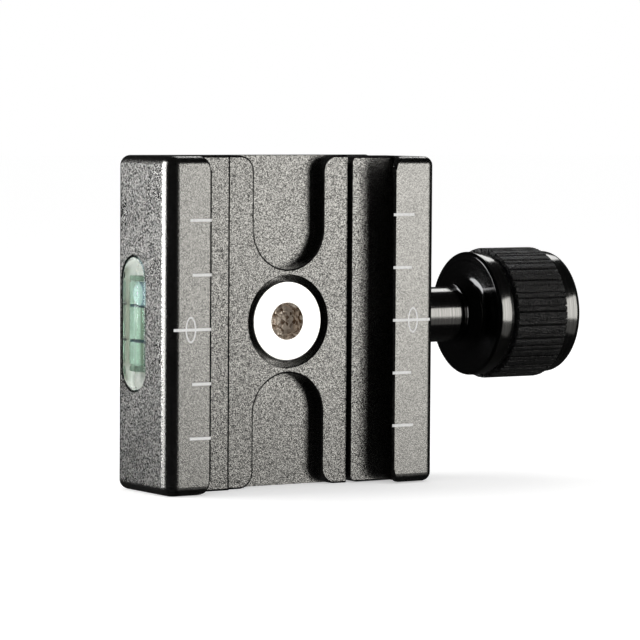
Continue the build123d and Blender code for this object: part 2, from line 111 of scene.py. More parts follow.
# %% World
world = bpy.data.worlds.new("studio")
bpy.context.scene.world = world
world.use_nodes = True
nodes, links = world.node_tree.nodes, world.node_tree.links
nodes.clear()
direction = nodes.new("ShaderNodeTexCoord")
split = nodes.new("ShaderNodeSeparateXYZ")
links.new(direction.outputs["Generated"], split.inputs[0])


def world_ramp(value, low, high, dark, bright):
    """Smooth step from dark to bright as a direction component goes from low to high."""
    node = nodes.new("ShaderNodeMapRange")
    node.interpolation_type = "SMOOTHSTEP"
    links.new(value, node.inputs["Value"])
    for name, number in (("From Min", low), ("From Max", high), ("To Min", dark), ("To Max", bright)):
        node.inputs[name].default_value = number
    return node.outputs[0]


MATT_GREY, LENS_WHITE = (0.72, 0.72, 0.72, 1), (1, 1, 1, 1)
mirrored = world_ramp(split.outputs["Y"], -0.2, 0.6, 0.002, 0.012)
rays = nodes.new("ShaderNodeLightPath")
for_mirrors = nodes.new("ShaderNodeMix")
for_mirrors.data_type = "RGBA"
for_mirrors.inputs["A"].default_value = MATT_GREY
links.new(rays.outputs["Is Glossy Ray"], for_mirrors.inputs["Factor"])
links.new(mirrored, for_mirrors.inputs["B"])
seen_or_through = nodes.new("ShaderNodeMath")
seen_or_through.operation = "MAXIMUM"
links.new(rays.outputs["Is Camera Ray"], seen_or_through.inputs[0])
links.new(rays.outputs["Is Transmission Ray"], seen_or_through.inputs[1])
for_lens = nodes.new("ShaderNodeMix")
for_lens.data_type = "RGBA"
for_lens.inputs["B"].default_value = LENS_WHITE
links.new(seen_or_through.outputs[0], for_lens.inputs["Factor"])
links.new(for_mirrors.outputs["Result"], for_lens.inputs["A"])
background = nodes.new("ShaderNodeBackground")
links.new(for_lens.outputs["Result"], background.inputs["Color"])
world_out = nodes.new("ShaderNodeOutputWorld")
links.new(background.outputs[0], world_out.inputs["Surface"])
print("world nodes:", len(nodes))

# %% [markdown]
# ## The soft boxes
# A large warm box to the front right fills the faces that look at the lens, and a faint one under it
# lets them fade towards the floor. A card at the left lights the side with the level, and a small
# box high behind gives the knob its upper glint. The last box is seen only through the clear level,
# where it draws the thin bright line on the tube.


# %% Soft boxes
def soft_box(name, bearing, height, reach, size, radiance, tint=(1, 1, 1)):
    """A rectangular lamp that faces the clamp. bearing is in degrees round it, 0 at the front."""
    lamp = bpy.data.lights.new(name, "AREA")
    lamp.shape = "RECTANGLE"
    lamp.size, lamp.size_y = size
    lamp.energy = math.pi * size[0] * size[1] * radiance
    lamp.color = tint
    turn = math.radians(bearing)
    place = Vector((math.sin(turn) * reach, -math.cos(turn) * reach, height))
    obj = bpy.data.objects.new(name, lamp)
    bpy.context.scene.collection.objects.link(obj)
    obj.matrix_world = Matrix.Translation(place) @ (-place).to_track_quat("-Z", "Y").to_matrix().to_4x4()
    return obj


WARM = (1.0, 0.985, 0.95)
soft_box("key_box", 37, 0.052, 0.45, (0.26, 0.26), 1.85, WARM)
soft_box("key_foot", 37, -0.168, 0.45, (0.26, 0.18), 0.16, WARM)
soft_box("left_card", -118, 0.10, 0.40, (0.31, 0.30), 4.9)
glint_box = soft_box("level_glint_box", -79, -0.028, 0.42, (0.12, 0.06), 40.0)
glint_box.visible_diffuse = False
glint_box.visible_glossy = False
soft_box("top_back_box", 133, 0.30, 0.335, (0.18, 0.16), 2.2)
print("soft boxes:", len(bpy.data.lights))

# %% [markdown]
# ## The floor
# The clamp stands on white paper. The paper glows a little to the lens, so it melts into the
# background, and only the soft contact shadow under the clamp shows.

# %% Floor
PAPER_GLOW = 0.42
floor_bm = bmesh.new()
bmesh.ops.create_grid(floor_bm, x_segments=1, y_segments=1, size=3.0)
bmesh.ops.translate(floor_bm, verts=floor_bm.verts, vec=(0, 0, cad_box[0].z))
floor_mesh = bpy.data.meshes.new("paper")
floor_bm.to_mesh(floor_mesh)
floor_bm.free()
floor = bpy.data.objects.new("paper", floor_mesh)
bpy.context.scene.collection.objects.link(floor)
floor.visible_glossy = False
floor.visible_shadow = False

paper = bpy.data.materials.new("white_paper")
paper.use_nodes = True
paper_shader = paper.node_tree.nodes["Principled BSDF"]
paper_shader.inputs["Base Color"].default_value = (0.8, 0.8, 0.8, 1)
paper_shader.inputs["Roughness"].default_value = 0.9
paper_shader.inputs["Specular IOR Level"].default_value = 0.0
paper_rays = paper.node_tree.nodes.new("ShaderNodeLightPath")
paper_glow = paper.node_tree.nodes.new("ShaderNodeMath")
paper_glow.operation = "MULTIPLY"
paper_glow.inputs[1].default_value = PAPER_GLOW
paper.node_tree.links.new(paper_rays.outputs["Is Camera Ray"], paper_glow.inputs[0])
paper.node_tree.links.new(paper_glow.outputs[0], paper_shader.inputs["Emission Strength"])
paper_shader.inputs["Emission Color"].default_value = (1, 1, 1, 1)
floor.data.materials.append(paper)
print("paper at height, mm:", round(1000 * cad_box[0].z, 2))

# %% [markdown]
# ## Shared effects
# Two workshop effects turn up on several pieces, so each is a node group with its own inputs.
# Bead blasting leaves a fine grain of tiny dents. A lathe tool leaves fine rings, which
# follow the distance along the axis on a barrel and the distance from it on a face.


# %% Node group helpers
def effect_group(name, inputs, outputs):
    """A shader node group with labelled sockets, and its input and output nodes."""
    group = bpy.data.node_groups.new(name, "ShaderNodeTree")
    for label, kind, value in inputs:
        socket = group.interface.new_socket(label, in_out="INPUT", socket_type=kind)
        socket.default_value = value
    for label, kind in outputs:
        group.interface.new_socket(label, in_out="OUTPUT", socket_type=kind)
    return group, group.nodes.new("NodeGroupInput"), group.nodes.new("NodeGroupOutput")


def put(tree, kind, settings=None, **values):
    """A new node in a tree, with its settings and the values of its unlinked inputs."""
    node = tree.nodes.new(kind)
    for name, value in (settings or {}).items():
        setattr(node, name, value)
    for name, value in values.items():
        node.inputs[name.replace("_", " ")].default_value = value
    return node


# %% Blasted grain
blasted, grain_in, grain_out = effect_group(
    "blasted_grain",
    [("Grains per metre", "NodeSocketFloat", 5000.0), ("Dent colour", "NodeSocketColor", (0.2, 0.2, 0.2, 1)),
     ("Crest colour", "NodeSocketColor", (0.5, 0.5, 0.5, 1)), ("Roughness", "NodeSocketFloat", 0.4)],
    [("Color", "NodeSocketColor"), ("Roughness", "NodeSocketFloat"), ("Height", "NodeSocketFloat")])
place = put(blasted, "ShaderNodeTexCoord")
dents = put(blasted, "ShaderNodeTexVoronoi")
grey = put(blasted, "ShaderNodeSeparateColor")
clouds = put(blasted, "ShaderNodeTexNoise", Scale=90.0, Detail=3.0)
tone = put(blasted, "ShaderNodeMapRange", From_Min=0.1, From_Max=0.9)
blend_tone = put(blasted, "ShaderNodeMix", {"data_type": "RGBA"})
cloud_rough = put(blasted, "ShaderNodeMapRange", From_Min=0.3, From_Max=0.7, To_Min=-0.03, To_Max=0.03)
add_rough = put(blasted, "ShaderNodeMath", {"operation": "ADD"})
link = blasted.links.new
link(place.outputs["Object"], dents.inputs["Vector"])
link(place.outputs["Object"], clouds.inputs["Vector"])
link(grain_in.outputs["Grains per metre"], dents.inputs["Scale"])
link(dents.outputs["Color"], grey.inputs[0])
link(grey.outputs[0], tone.inputs["Value"])
link(tone.outputs[0], blend_tone.inputs["Factor"])
link(grain_in.outputs["Dent colour"], blend_tone.inputs["A"])
link(grain_in.outputs["Crest colour"], blend_tone.inputs["B"])
link(clouds.outputs["Fac"], cloud_rough.inputs["Value"])
link(cloud_rough.outputs[0], add_rough.inputs[0])
link(grain_in.outputs["Roughness"], add_rough.inputs[1])
link(blend_tone.outputs["Result"], grain_out.inputs["Color"])
link(add_rough.outputs[0], grain_out.inputs["Roughness"])
link(dents.outputs["Distance"], grain_out.inputs["Height"])
print(blasted.name, "nodes:", len(blasted.nodes))

# %% Turned lines
turned, lines_in, lines_out = effect_group(
    "turned_lines",
    [("Axis point", "NodeSocketVector", (0, 0, 0)), ("Along Y", "NodeSocketFloat", 0.0),
     ("Lines per metre", "NodeSocketFloat", 4000.0)],
    [("Mask", "NodeSocketFloat"), ("Height", "NodeSocketFloat")])
place = put(turned, "ShaderNodeTexCoord")
offset = put(turned, "ShaderNodeVectorMath", {"operation": "SUBTRACT"})
parts = put(turned, "ShaderNodeSeparateXYZ")
axis_pick = put(turned, "ShaderNodeMix")
across_pick = put(turned, "ShaderNodeMix")
across = put(turned, "ShaderNodeCombineXYZ")
radius = put(turned, "ShaderNodeVectorMath", {"operation": "LENGTH"})
travel = put(turned, "ShaderNodeMath", {"operation": "ADD"})
rings = put(turned, "ShaderNodeTexNoise", {"noise_dimensions": "1D"}, Detail=2.0, Roughness=0.7)
contrast = put(turned, "ShaderNodeMapRange", From_Min=0.3, From_Max=0.7)
link = turned.links.new
link(place.outputs["Object"], offset.inputs[0])
link(lines_in.outputs["Axis point"], offset.inputs[1])
link(offset.outputs[0], parts.inputs[0])
for pick in (axis_pick, across_pick):
    link(lines_in.outputs["Along Y"], pick.inputs["Factor"])
link(parts.outputs["X"], axis_pick.inputs["A"])
link(parts.outputs["Y"], axis_pick.inputs["B"])
link(parts.outputs["Y"], across_pick.inputs["A"])
link(parts.outputs["X"], across_pick.inputs["B"])
link(across_pick.outputs[0], across.inputs["X"])
link(parts.outputs["Z"], across.inputs["Y"])
link(across.outputs[0], radius.inputs[0])
link(axis_pick.outputs[0], travel.inputs[0])
link(radius.outputs["Value"], travel.inputs[1])
link(travel.outputs[0], rings.inputs["W"])
link(lines_in.outputs["Lines per metre"], rings.inputs["Scale"])
link(rings.outputs["Fac"], contrast.inputs["Value"])
link(contrast.outputs[0], lines_out.inputs["Mask"])
link(rings.outputs["Fac"], lines_out.inputs["Height"])
print(turned.name, "nodes:", len(turned.nodes))


# %% [markdown]
# ## Finishes
# Each finish is named for what the maker did to the piece, and a few also for the light or shade
# painted into them. The metals are Principled shaders at full metallic, so their base colour is the
# colour of the reflection. The pressed socket is only half metallic, because oil and dust dull it.


# %% Finish helpers
def finish(name, **values):
    """A material whose Principled shader has the given constant values."""
    material = bpy.data.materials.new(name)
    material.use_nodes = True
    shader = material.node_tree.nodes["Principled BSDF"]
    for label, value in values.items():
        shader.inputs[label.replace("_", " ")].default_value = value
    return material, shader


def bump(material, shader, height, depth):
    """Small relief on a finish, from a height output. depth is in metres."""
    node = put(material.node_tree, "ShaderNodeBump", Distance=depth)
    material.node_tree.links.new(height, node.inputs["Height"])
    material.node_tree.links.new(node.outputs[0], shader.inputs["Normal"])


def grain_of(tree, dent, crest, roughness, grains):
    """The blasted grain group in a material, with its values."""
    grain = put(tree, "ShaderNodeGroup", {"node_tree": blasted})
    grain.inputs["Grains per metre"].default_value = grains
    grain.inputs["Dent colour"].default_value = (*dent, 1)
    grain.inputs["Crest colour"].default_value = (*crest, 1)
    grain.inputs["Roughness"].default_value = roughness
    return grain


def blasted_finish(name, dent, crest, roughness, grains, depth, **values):
    """Metal or plastic with the blasted grain group. grains is per metre, depth in metres."""
    material, shader = finish(name, **values)
    grain = grain_of(material.node_tree, dent, crest, roughness, grains)
    material.node_tree.links.new(grain.outputs["Color"], shader.inputs["Base Color"])
    material.node_tree.links.new(grain.outputs["Roughness"], shader.inputs["Roughness"])
    bump(material, shader, grain.outputs["Height"], depth)
    return material


def turned_finish(name, dark, bright, smooth, rough, lines, depth, axis_point, along_y=0.0):
    """Lathe turned metal: fine rings in colour, roughness and relief. lines is per metre."""
    material, shader = finish(name, Metallic=1.0)
    tree = material.node_tree
    group = put(tree, "ShaderNodeGroup", {"node_tree": turned})
    group.inputs["Axis point"].default_value = axis_point
    group.inputs["Along Y"].default_value = along_y
    group.inputs["Lines per metre"].default_value = lines
    colour = put(tree, "ShaderNodeMix", {"data_type": "RGBA"}, A=(*dark, 1), B=(*bright, 1))
    rough_range = put(tree, "ShaderNodeMapRange", To_Min=smooth, To_Max=rough)
    tree.links.new(group.outputs["Mask"], colour.inputs["Factor"])
    tree.links.new(group.outputs["Mask"], rough_range.inputs["Value"])
    tree.links.new(colour.outputs["Result"], shader.inputs["Base Color"])
    tree.links.new(rough_range.outputs[0], shader.inputs["Roughness"])
    bump(material, shader, group.outputs["Height"], depth)
    return material


# %% [markdown]
# ## The block's metal
# One finish covers the block and the sliding jaw. It mixes two sizes of blasted grain by place: a
# coarse one on the side face with the level, a fine one everywhere else. Hands and camera plates
# rub the jaw tops and the side's long edge, so there the grain fades into an even grey. The side
# face lies at X -23.95 mm and the jaw tops at Y -15.2 mm, and the masks are set from these places.


# %% Body metal
body_metal, body_shader = finish("blasted_grey_anodised", Metallic=1.0)
body_tree = body_metal.node_tree
where = put(body_tree, "ShaderNodeTexCoord")
spot = put(body_tree, "ShaderNodeSeparateXYZ")


def fades(near, far, full):
    """A mask that falls from full to nothing between two places along an axis, in metres."""
    return put(body_tree, "ShaderNodeMapRange", From_Min=near, From_Max=far, To_Min=full, To_Max=0.0)


on_side = fades(-0.023948, -0.0239, 1.0)
on_top = fades(-0.01518, -0.0151, 0.5)
on_edge = fades(-0.0237, -0.0234, 0.75)
rubbing = put(body_tree, "ShaderNodeMath", {"operation": "MAXIMUM"})
front_grain = grain_of(body_tree, (0.025, 0.025, 0.024), (0.45, 0.445, 0.43), 0.2, 9000.0)
side_grain = grain_of(body_tree, (0.02, 0.02, 0.019), (0.85, 0.84, 0.815), 0.28, 5000.0)
rubbed = put(body_tree, "ShaderNodeMix", {"data_type": "RGBA"}, B=(0.37, 0.366, 0.352, 1))
colour = put(body_tree, "ShaderNodeMix", {"data_type": "RGBA"})
rough = put(body_tree, "ShaderNodeMix")
height = put(body_tree, "ShaderNodeMix")
link = body_tree.links.new
link(where.outputs["Object"], spot.inputs[0])
link(spot.outputs["X"], on_side.inputs["Value"])
link(spot.outputs["Y"], on_top.inputs["Value"])
link(spot.outputs["X"], on_edge.inputs["Value"])
link(on_top.outputs[0], rubbing.inputs[0])
link(on_edge.outputs[0], rubbing.inputs[1])
link(rubbing.outputs[0], rubbed.inputs["Factor"])
link(front_grain.outputs["Color"], rubbed.inputs["A"])
for mix in (colour, rough, height):
    link(on_side.outputs[0], mix.inputs["Factor"])
link(rubbed.outputs["Result"], colour.inputs["A"])
link(side_grain.outputs["Color"], colour.inputs["B"])
link(front_grain.outputs["Roughness"], rough.inputs["A"])
link(side_grain.outputs["Roughness"], rough.inputs["B"])
link(front_grain.outputs["Height"], height.inputs["A"])
link(side_grain.outputs["Height"], height.inputs["B"])
link(colour.outputs["Result"], body_shader.inputs["Base Color"])
link(rough.outputs[0], body_shader.inputs["Roughness"])
bump(body_metal, body_shader, height.outputs[0], 0.00001)
print(body_metal.name, "nodes:", len(body_tree.nodes))

# %% Turned metals
knob_axis = (0.0, -0.00495, 0.0)
mount_axis = (0.0, 0.0, 0.0)
knob_satin = turned_finish("satin_black_anodised", (0.23, 0.228, 0.222), (0.35, 0.346, 0.337), 0.12, 0.18,
                           3500.0, 0.000004, knob_axis)
knob_gloss = turned_finish("polished_black_anodised", (0.085, 0.085, 0.087), (0.12, 0.12, 0.122), 0.08, 0.12,
                           3000.0, 0.000002, knob_axis)
bright_steel = turned_finish("bright_turned_steel", (0.88, 0.88, 0.87), (0.97, 0.97, 0.96), 0.18, 0.26,
                             3500.0, 0.000003, mount_axis, 1.0)
dark_steel = turned_finish("oiled_dark_steel", (0.09, 0.09, 0.095), (0.15, 0.15, 0.155), 0.3, 0.42,
                           5000.0, 0.000003, knob_axis)
spring_steel = turned_finish("drawn_spring_wire", (0.42, 0.42, 0.41), (0.55, 0.55, 0.54), 0.22, 0.32,
                             9000.0, 0.000002, knob_axis)
socket_steel = blasted_finish("pressed_socket_steel", (0.16, 0.1, 0.06), (1.0, 0.88, 0.74), 0.2,
                              2100.0, 0.00015, Metallic=0.5)

# %% Rubber, paint and ink
grip_rubber = blasted_finish("grip_rubber", (0.001, 0.001, 0.001), (0.009, 0.009, 0.009), 0.3,
                             4200.0, 0.00012, Specular_IOR_Level=0.9)
white_paint = blasted_finish("white_filling_paint", (0.78, 0.78, 0.77), (0.88, 0.88, 0.87), 0.5,
                             5000.0, 0.000008)
level_ink = blasted_finish("black_ring_ink", (0.08, 0.12, 0.17), (0.14, 0.19, 0.25), 0.5, 6000.0, 0.000002)

# %% [markdown]
# ## The level's film
# The film behind the level is white at its ends, and it glows a little all over: a painted light.
# Behind the middle it is painted a grey green, on the half that shows beside the tube: a painted
# shadow of the tube and its liquid, which the glow carries too.

# %% Backing film
# The film glows with its own colour at strength 0.5: painted light, as it is no lamp.
level_backing_painted_light, film_shader = finish("white_film_painted_glow_and_shadow", Roughness=0.6, Emission_Strength=0.5)
film_tree = level_backing_painted_light.node_tree
film_place = put(film_tree, "ShaderNodeTexCoord")
film_spot = put(film_tree, "ShaderNodeSeparateXYZ")
film_height = put(film_tree, "ShaderNodeMath", {"operation": "ABSOLUTE"})
# Painted shadow: the half of the film beside the middle of the tube is darkened to a grey green.
under_tube = put(film_tree, "ShaderNodeMapRange", From_Min=-0.0024, From_Max=-0.0029)
along_tube = put(film_tree, "ShaderNodeMapRange", From_Min=0.0068, From_Max=0.006)
painted_shadow_mask = put(film_tree, "ShaderNodeMath", {"operation": "MULTIPLY"})
speckle = grain_of(film_tree, (0.7, 0.73, 0.68), (0.86, 0.88, 0.83), 0.6, 1800.0)
film_colour_painted_shadow = put(film_tree, "ShaderNodeMix", {"data_type": "RGBA"}, B=(0.36, 0.36, 0.3, 1))
link = film_tree.links.new
link(film_place.outputs["Object"], film_spot.inputs[0])
link(film_spot.outputs["Y"], under_tube.inputs["Value"])
link(film_spot.outputs["Z"], film_height.inputs[0])
link(film_height.outputs[0], along_tube.inputs["Value"])
link(under_tube.outputs[0], painted_shadow_mask.inputs[0])
link(along_tube.outputs[0], painted_shadow_mask.inputs[1])
link(painted_shadow_mask.outputs[0], film_colour_painted_shadow.inputs["Factor"])
link(speckle.outputs["Color"], film_colour_painted_shadow.inputs["A"])
link(film_colour_painted_shadow.outputs["Result"], film_shader.inputs["Base Color"])
link(film_colour_painted_shadow.outputs["Result"], film_shader.inputs["Emission Color"])
print(level_backing_painted_light.name, "nodes:", len(film_tree.nodes))


# %% Clear plastics
def clear_finish(name, tint_low, tint_high, roughness, ior, streaks, **values):
    """See-through plastic or liquid with faint flow clouds in its colour. streaks is their scale."""
    material, shader = finish(name, Transmission_Weight=1.0, IOR=ior, Roughness=roughness, **values)
    tree = material.node_tree
    where = put(tree, "ShaderNodeTexCoord")
    cloud = put(tree, "ShaderNodeTexNoise", Scale=streaks, Detail=2.0)
    colour = put(tree, "ShaderNodeMix", {"data_type": "RGBA"}, A=(*tint_low, 1), B=(*tint_high, 1))
    tree.links.new(where.outputs["Object"], cloud.inputs["Vector"])
    tree.links.new(cloud.outputs["Fac"], colour.inputs["Factor"])
    tree.links.new(colour.outputs["Result"], shader.inputs["Base Color"])
    bump(material, shader, cloud.outputs["Fac"], 0.00001)
    return material


level_block_plastic = clear_finish("clear_cast_plastic", (0.95, 0.97, 0.95), (0.99, 1.0, 0.985),
                                   0.03, 1.49, 350.0)
level_liquid_green = clear_finish("green_level_liquid", (0.58, 0.8, 0.69), (0.66, 0.86, 0.76),
                                  0.0, 1.06, 300.0, Coat_Weight=1.0, Coat_IOR=1.45, Coat_Roughness=0.02)
# The bubble glows faintly blue white: a painted light that lightens it.
level_air_painted_glow = clear_finish("air_bubble_painted_glow", (0.93, 0.96, 0.99), (0.98, 0.99, 1.0),
                         0.0, 1.1, 200.0, Emission_Color=(0.7, 0.82, 1.0, 1), Emission_Strength=0.12)
# Darker green for the discs at the tube's ends: painted shade.
level_cap_painted_shade = clear_finish("green_painted_shade", (0.3, 0.42, 0.35), (0.4, 0.52, 0.44), 0.25, 1.05, 500.0)
level_plug_plastic = blasted_finish("plug_plastic", (0.66, 0.7, 0.64), (0.8, 0.82, 0.77), 0.4,
                                    2500.0, 0.00001)
print("finishes:", len(bpy.data.materials))

# %% [markdown]
# ## Modelling tools
# Round pieces are turned as on a lathe: a profile of a few points is spun one full turn, its ends
# are merged, and the sharp ring edges get a small bevel that catches the light. A flat next to a
# rounded edge has one more ring of points just inside it, which keeps its shading flat.
# All of this is drawn in millimetres and scaled to metres at the end.

# %% Mesh tools
KNOB_CENTRE = Vector((0, -4.95, 0))
ALONG_X, ALONG_Y = Vector((1, 0, 0)), Vector((0, 1, 0))


def outward(axis):
    """The direction square to the axis in which radii are drawn."""
    return Vector((0, -1, 0)) if axis == ALONG_X else Vector((1, 0, 0))


def spin_profile(bm, profile, centre, axis, steps=96, closed=True):
    """Spins (along, radius) points one full turn round the axis through the centre."""
    out = outward(axis)
    verts = [bm.verts.new(centre + axis * along + out * radius) for along, radius in profile]
    ends = verts[1:] + verts[:1] if closed else verts[1:]
    edges = [bm.edges.new(pair) for pair in zip(verts, ends)]
    bmesh.ops.spin(bm, geom=verts + edges, cent=centre, axis=axis, dvec=(0, 0, 0), angle=2 * math.pi,
                   steps=steps, use_merge=True)
    bmesh.ops.remove_doubles(bm, verts=bm.verts, dist=1e-5)
    bmesh.ops.recalc_face_normals(bm, faces=bm.faces)


def round_edges(bm, edges, width, segments=2):
    """Bevels the given edges. The new faces keep their neighbours' material."""
    bmesh.ops.bevel(bm, geom=edges, offset=width, offset_type="OFFSET", segments=segments, profile=0.5,
                    affect="EDGES", material=-1, clamp_overlap=True)


def soften(bm, width, least_angle=0.5):
    """Bevels every edge sharper than least_angle, in radians."""
    round_edges(bm, [e for e in bm.edges if e.is_manifold and e.calc_face_angle() > least_angle], width)


def to_piece(bm, name, material, body, replaced=(), smooth_angle=38):
    """Turns a mesh drawn in millimetres into a finished piece that rides on a body."""
    bmesh.ops.remove_doubles(bm, verts=bm.verts, dist=1e-5)
    bmesh.ops.recalc_face_normals(bm, faces=bm.faces)
    bmesh.ops.scale(bm, vec=(0.001, 0.001, 0.001), verts=bm.verts)
    mesh = bpy.data.meshes.new(name)
    bm.to_mesh(mesh)
    bm.free()
    mesh.shade_smooth()
    mesh.set_sharp_from_angle(angle=math.radians(smooth_angle))
    for one in material if isinstance(material, (list, tuple)) else [material]:
        mesh.materials.append(one)
    obj = bpy.data.objects.new(name, mesh)
    bpy.context.scene.collection.objects.link(obj)
    if body:
        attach(obj, body)
    if replaced:
        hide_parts(*replaced)
    print(name, "triangles:", sum(len(f.vertices) - 2 for f in mesh.polygons))
    return obj


def bow(start, middle, end, count):
    """Points on a smooth curve from start to end that passes through middle."""
    (x0, r0), (xm, rm), (x1, r1) = start, middle, end
    cx, cr = 2 * xm - (x0 + x1) / 2, 2 * rm - (r0 + r1) / 2
    steps = [n / count for n in range(count + 1)]
    return [((1 - t) ** 2 * x0 + 2 * t * (1 - t) * cx + t * t * x1,
             (1 - t) ** 2 * r0 + 2 * t * (1 - t) * cr + t * t * r1) for t in steps]


# %% [markdown]
# ## The knob
# One turned bar: a thin ring, a hollow flare that was polished, a satin flange, the seat under the
# rubber and the satin end band. The flare goes gloss by giving its faces a second material.
# Each part of the profile is a list of points: the place along the axis, then the radius.

# %% Knob body
KNOB_END = 1000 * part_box("knob_body")[1].x
GRIP_START, GRIP_END = [1000 * corner.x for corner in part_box("knob_grip")]
HEAD_SEAT = KNOB_END - 5.1
SEAT_RADIUS, BAND_RADIUS, END_ROUND = 8.2, 9.6, 1.0
GLOSS_FROM, GLOSS_TO = 32.4, 36.15
front_ring = [(32.5, 2.5), (32.5, 4.1), (32.85, 4.1), (32.85, 4.75), (33.55, 4.75), (33.55, 4.12)]
flare = bow((34.75, 5.1), (35.35, 5.63), (35.6, 6.6), 8)
flange = [(35.8, 9.1), (35.8, 9.3), (36.2, 9.7), (38.5, 9.7)]
grip_seat = [(38.5, SEAT_RADIUS), (GRIP_END, SEAT_RADIUS)]
end_band = [(GRIP_END, BAND_RADIUS)]
for angle in (math.radians(15 * n) for n in range(7)):
    end_band.append((KNOB_END - END_ROUND + END_ROUND * math.sin(angle),
                     BAND_RADIUS - END_ROUND + END_ROUND * math.cos(angle)))
head_recess = [(KNOB_END, 4.35), (HEAD_SEAT, 4.35), (HEAD_SEAT, 2.5)]
knob_profile = front_ring + flare + flange + grip_seat + end_band + head_recess

knob_bm = bmesh.new()
spin_profile(knob_bm, knob_profile, KNOB_CENTRE, ALONG_X, 128)
soften(knob_bm, 0.1)
for face in knob_bm.faces:
    if GLOSS_FROM < face.calc_center_median().x < GLOSS_TO:
        face.material_index = 1
to_piece(knob_bm, "turned_knob", [knob_satin, knob_gloss], "knob", ["knob_body"])

# %% [markdown]
# ## The rubber grip
# Wide and narrow ribs take turns round a plain ring. One pair of ribs is drawn as two bevelled
# blocks and then copied round the knob by a spin that duplicates. The tag marks the vertices of a
# rib that has already been turned to its place.

# %% Grip
ROOT, RIB, SINK, PAIRS = 9.8, 10.25, 0.35, 30
grip_bm = bmesh.new()
for middle_deg, wide_deg in ((0.0, 5.6), (6.0, 3.0)):
    half = math.radians(wide_deg / 2) * RIB
    made = bmesh.ops.create_cube(grip_bm, size=1.0)["verts"]
    bmesh.ops.scale(grip_bm, vec=(GRIP_END - GRIP_START, 2 * half, RIB - ROOT + SINK), verts=made)
    bmesh.ops.translate(grip_bm, verts=made, vec=((GRIP_START + GRIP_END) / 2, 0, (RIB + ROOT - SINK) / 2))
    rib_edges = list({e for v in made for e in v.link_edges if e.calc_face_angle() > 0.5
                      and all(w.co.z > ROOT for w in e.verts)})
    round_edges(grip_bm, rib_edges, 0.13)
    new_verts = [v for v in grip_bm.verts if not v.tag]
    turn = Matrix.Rotation(math.radians(middle_deg), 3, "X")
    bmesh.ops.rotate(grip_bm, verts=new_verts, cent=(0, 0, 0), matrix=turn)
    for v in grip_bm.verts:
        v.tag = True
bmesh.ops.translate(grip_bm, verts=grip_bm.verts, vec=KNOB_CENTRE)
one_pair = grip_bm.verts[:] + grip_bm.edges[:] + grip_bm.faces[:]
bmesh.ops.spin(grip_bm, geom=one_pair, cent=KNOB_CENTRE, axis=ALONG_X, dvec=(0, 0, 0),
               angle=2 * math.pi * (PAIRS - 1) / PAIRS, steps=PAIRS - 1, use_duplicate=True)
grip_ring = [(GRIP_START, SEAT_RADIUS), (GRIP_START, 9.65), (GRIP_START + 0.15, ROOT),
             (GRIP_END - 0.15, ROOT), (GRIP_END, 9.65), (GRIP_END, SEAT_RADIUS)]
spin_profile(grip_bm, grip_ring, KNOB_CENTRE, ALONG_X, 120)
to_piece(grip_bm, "ribbed_grip", grip_rubber, "knob", ["knob_grip"])

# %% [markdown]
# ## Tools for the screws
# A socket is turned round and then pressed: its rings of points move from a circle to a hexagon.
# A thread is a small triangle swept round and along the shank.


# %% Screw tools
def hex_radius(angle, flats):
    """Distance from the middle of a hexagon to its side, at that angle."""
    return flats / 2 / math.cos((angle + math.pi / 6) % (math.pi / 3) - math.pi / 6)


def press_hexagon(verts, centre, first, second, flats):
    """Presses a round socket as wide as its flats into a hexagon, square to axes first and second."""
    for v in verts:
        a, b = v.co[first] - centre[first], v.co[second] - centre[second]
        across = math.hypot(a, b)
        if abs(across - flats / 2) < 0.01:
            wanted = hex_radius(math.atan2(b, a), flats)
            v.co[first] = centre[first] + a * wanted / across
            v.co[second] = centre[second] + b * wanted / across


def thread(bm, centre, axis, start, length, pitch, root, crest, steps=40):
    """A helical rib of triangular section. Its two ends sink into the core."""
    out = outward(axis)
    sink, flat, flank = 0.05, 0.06 * pitch, pitch * 0.46
    section = [(-flank, root - sink), (-flat, crest), (flat, crest), (flank, root - sink)]
    verts = [bm.verts.new(centre + axis * (start + flank + a) + out * r) for a, r in section]
    face = bm.faces.new(verts)
    turns = (length - 2 * flank) / pitch
    count = int(turns * steps)
    made = bmesh.ops.spin(bm, geom=[face], cent=centre, axis=axis, dvec=axis * (length - 2 * flank) / count,
                          angle=2 * math.pi * turns, steps=count)
    ends = list(face.verts) + [g for g in made["geom_last"] if isinstance(g, bmesh.types.BMVert)]
    for v in ends:
        across = (v.co - centre) - axis * (v.co - centre).dot(axis)
        v.co -= across.normalized() * max(0.0, across.length - root + sink)


# %% [markdown]
# ## The mounting screw
# The head, the shank and a groove for the snap ring are turned as one profile. Its socket is 5 mm
# across the flats, and the faces in and just round it get the duller socket finish. The thread has
# 20 turns to the inch, 1.27 mm each.

# %% Mounting screw
SOCKET_EDGE = 2.86
screw_socket = [(-7.2, 0), (-7.2, 2.5), (-9.35, 2.5)]
screw_head = [(-9.6, 2.8), (-9.6, 2.95), (-9.6, 5.8), (-9.6, 5.93), (-9.48, 6.05), (-5.9, 6.05),
              (-5.9, 3.175)]
screw_shank = [(-0.9, 3.175), (-0.9, 2.675), (-0.1, 2.675), (-0.1, 2.72), (5.4, 2.72), (6.0, 2.3), (6.0, 0)]
screw_bm = bmesh.new()
spin_profile(screw_bm, screw_socket + screw_head + screw_shank, Vector(), ALONG_Y, 96, closed=False)
press_hexagon([v for v in screw_bm.verts if v.co.y < -7], Vector(), 0, 2, 5.0)
soften(screw_bm, 0.07, 0.6)
for face in screw_bm.faces:
    middle = face.calc_center_median()
    if math.hypot(middle.x, middle.z) < SOCKET_EDGE and middle.y < -6:
        face.material_index = 1
thread(screw_bm, Vector(), ALONG_Y, start=-0.05, length=5.75, pitch=1.27, root=2.72, crest=3.17)
to_piece(screw_bm, "mounting_screw_turned", [bright_steel, socket_steel], "mount_screw",
         ["mounting_screw"])

# %% [markdown]
# ## The clamp screw
# A socket head screw, M5, goes through the knob, the sleeve and the jaw into the base. Only its
# head shows, deep in the end of the knob, and a little of the thread when the jaws are open.

